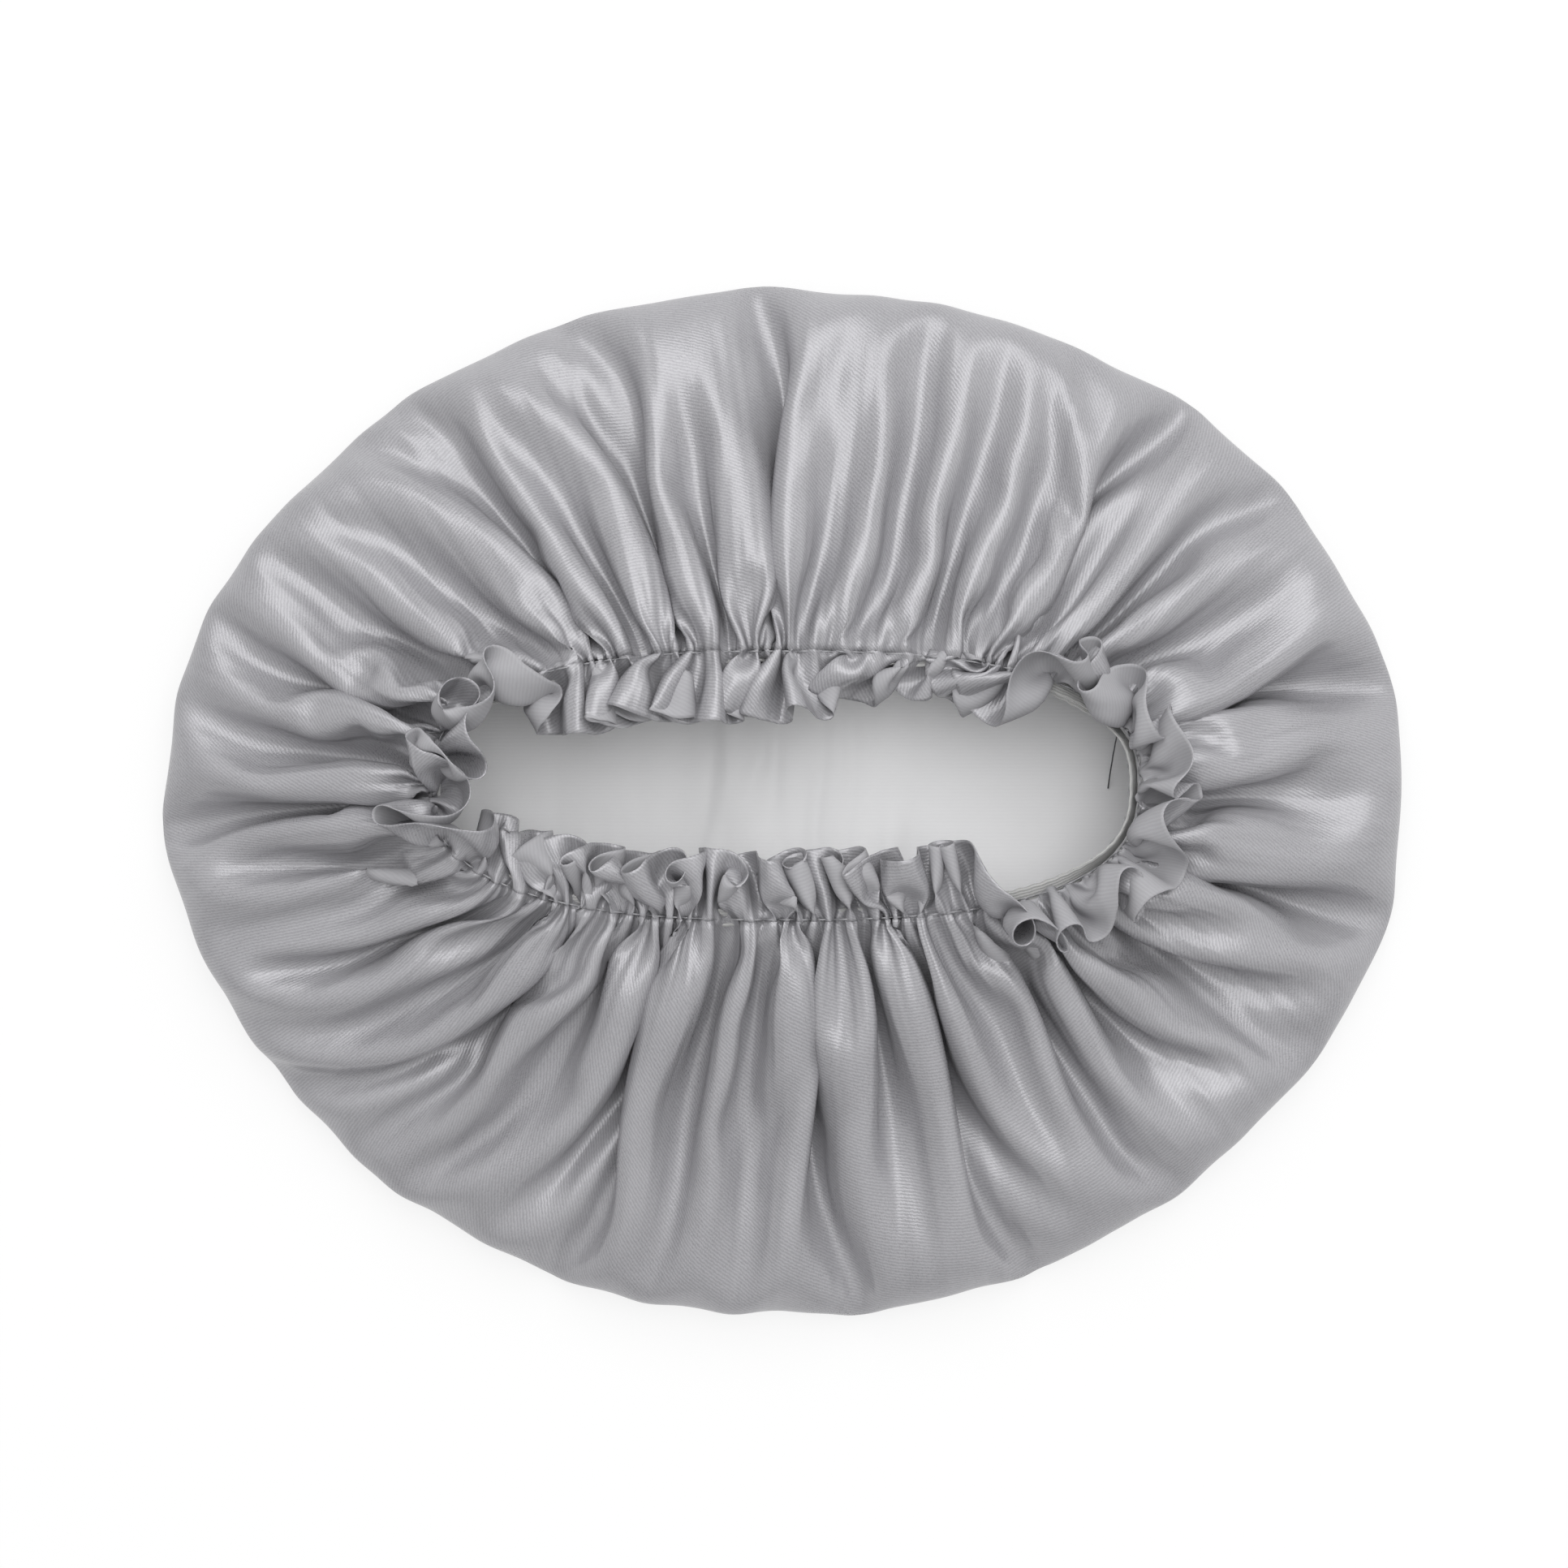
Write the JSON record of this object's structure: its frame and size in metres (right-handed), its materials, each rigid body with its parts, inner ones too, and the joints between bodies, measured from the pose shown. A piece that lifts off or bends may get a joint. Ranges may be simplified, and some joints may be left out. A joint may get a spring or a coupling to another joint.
{
  "type": "shower cap",
  "caption": "Gathered satin hair cap lying with its mouth up: an elastic sewn inside draws a cloth circle into a soft bag and leaves its cut edge standing as a frill.",
  "frame": {"origin": "on the table, under the middle of the lying cap", "axes": "+X along the cap's longer lying side and its mouth, +Y up in the picture, +Z up out of the mouth"},
  "size_m": [0.34, 0.28, 0.0562],
  "materials": {
    "satin": "satin",
    "elastic": "matte",
    "thread": "matte"
  },
  "bodies": {
    "root": {"crown": "satin", "frill": "satin", "elastic_band": "elastic", "needle_thread": "thread", "bobbin_thread": "thread", "lap_tack": "thread", "thread_tail": "thread"}
  },
  "joints": []
}
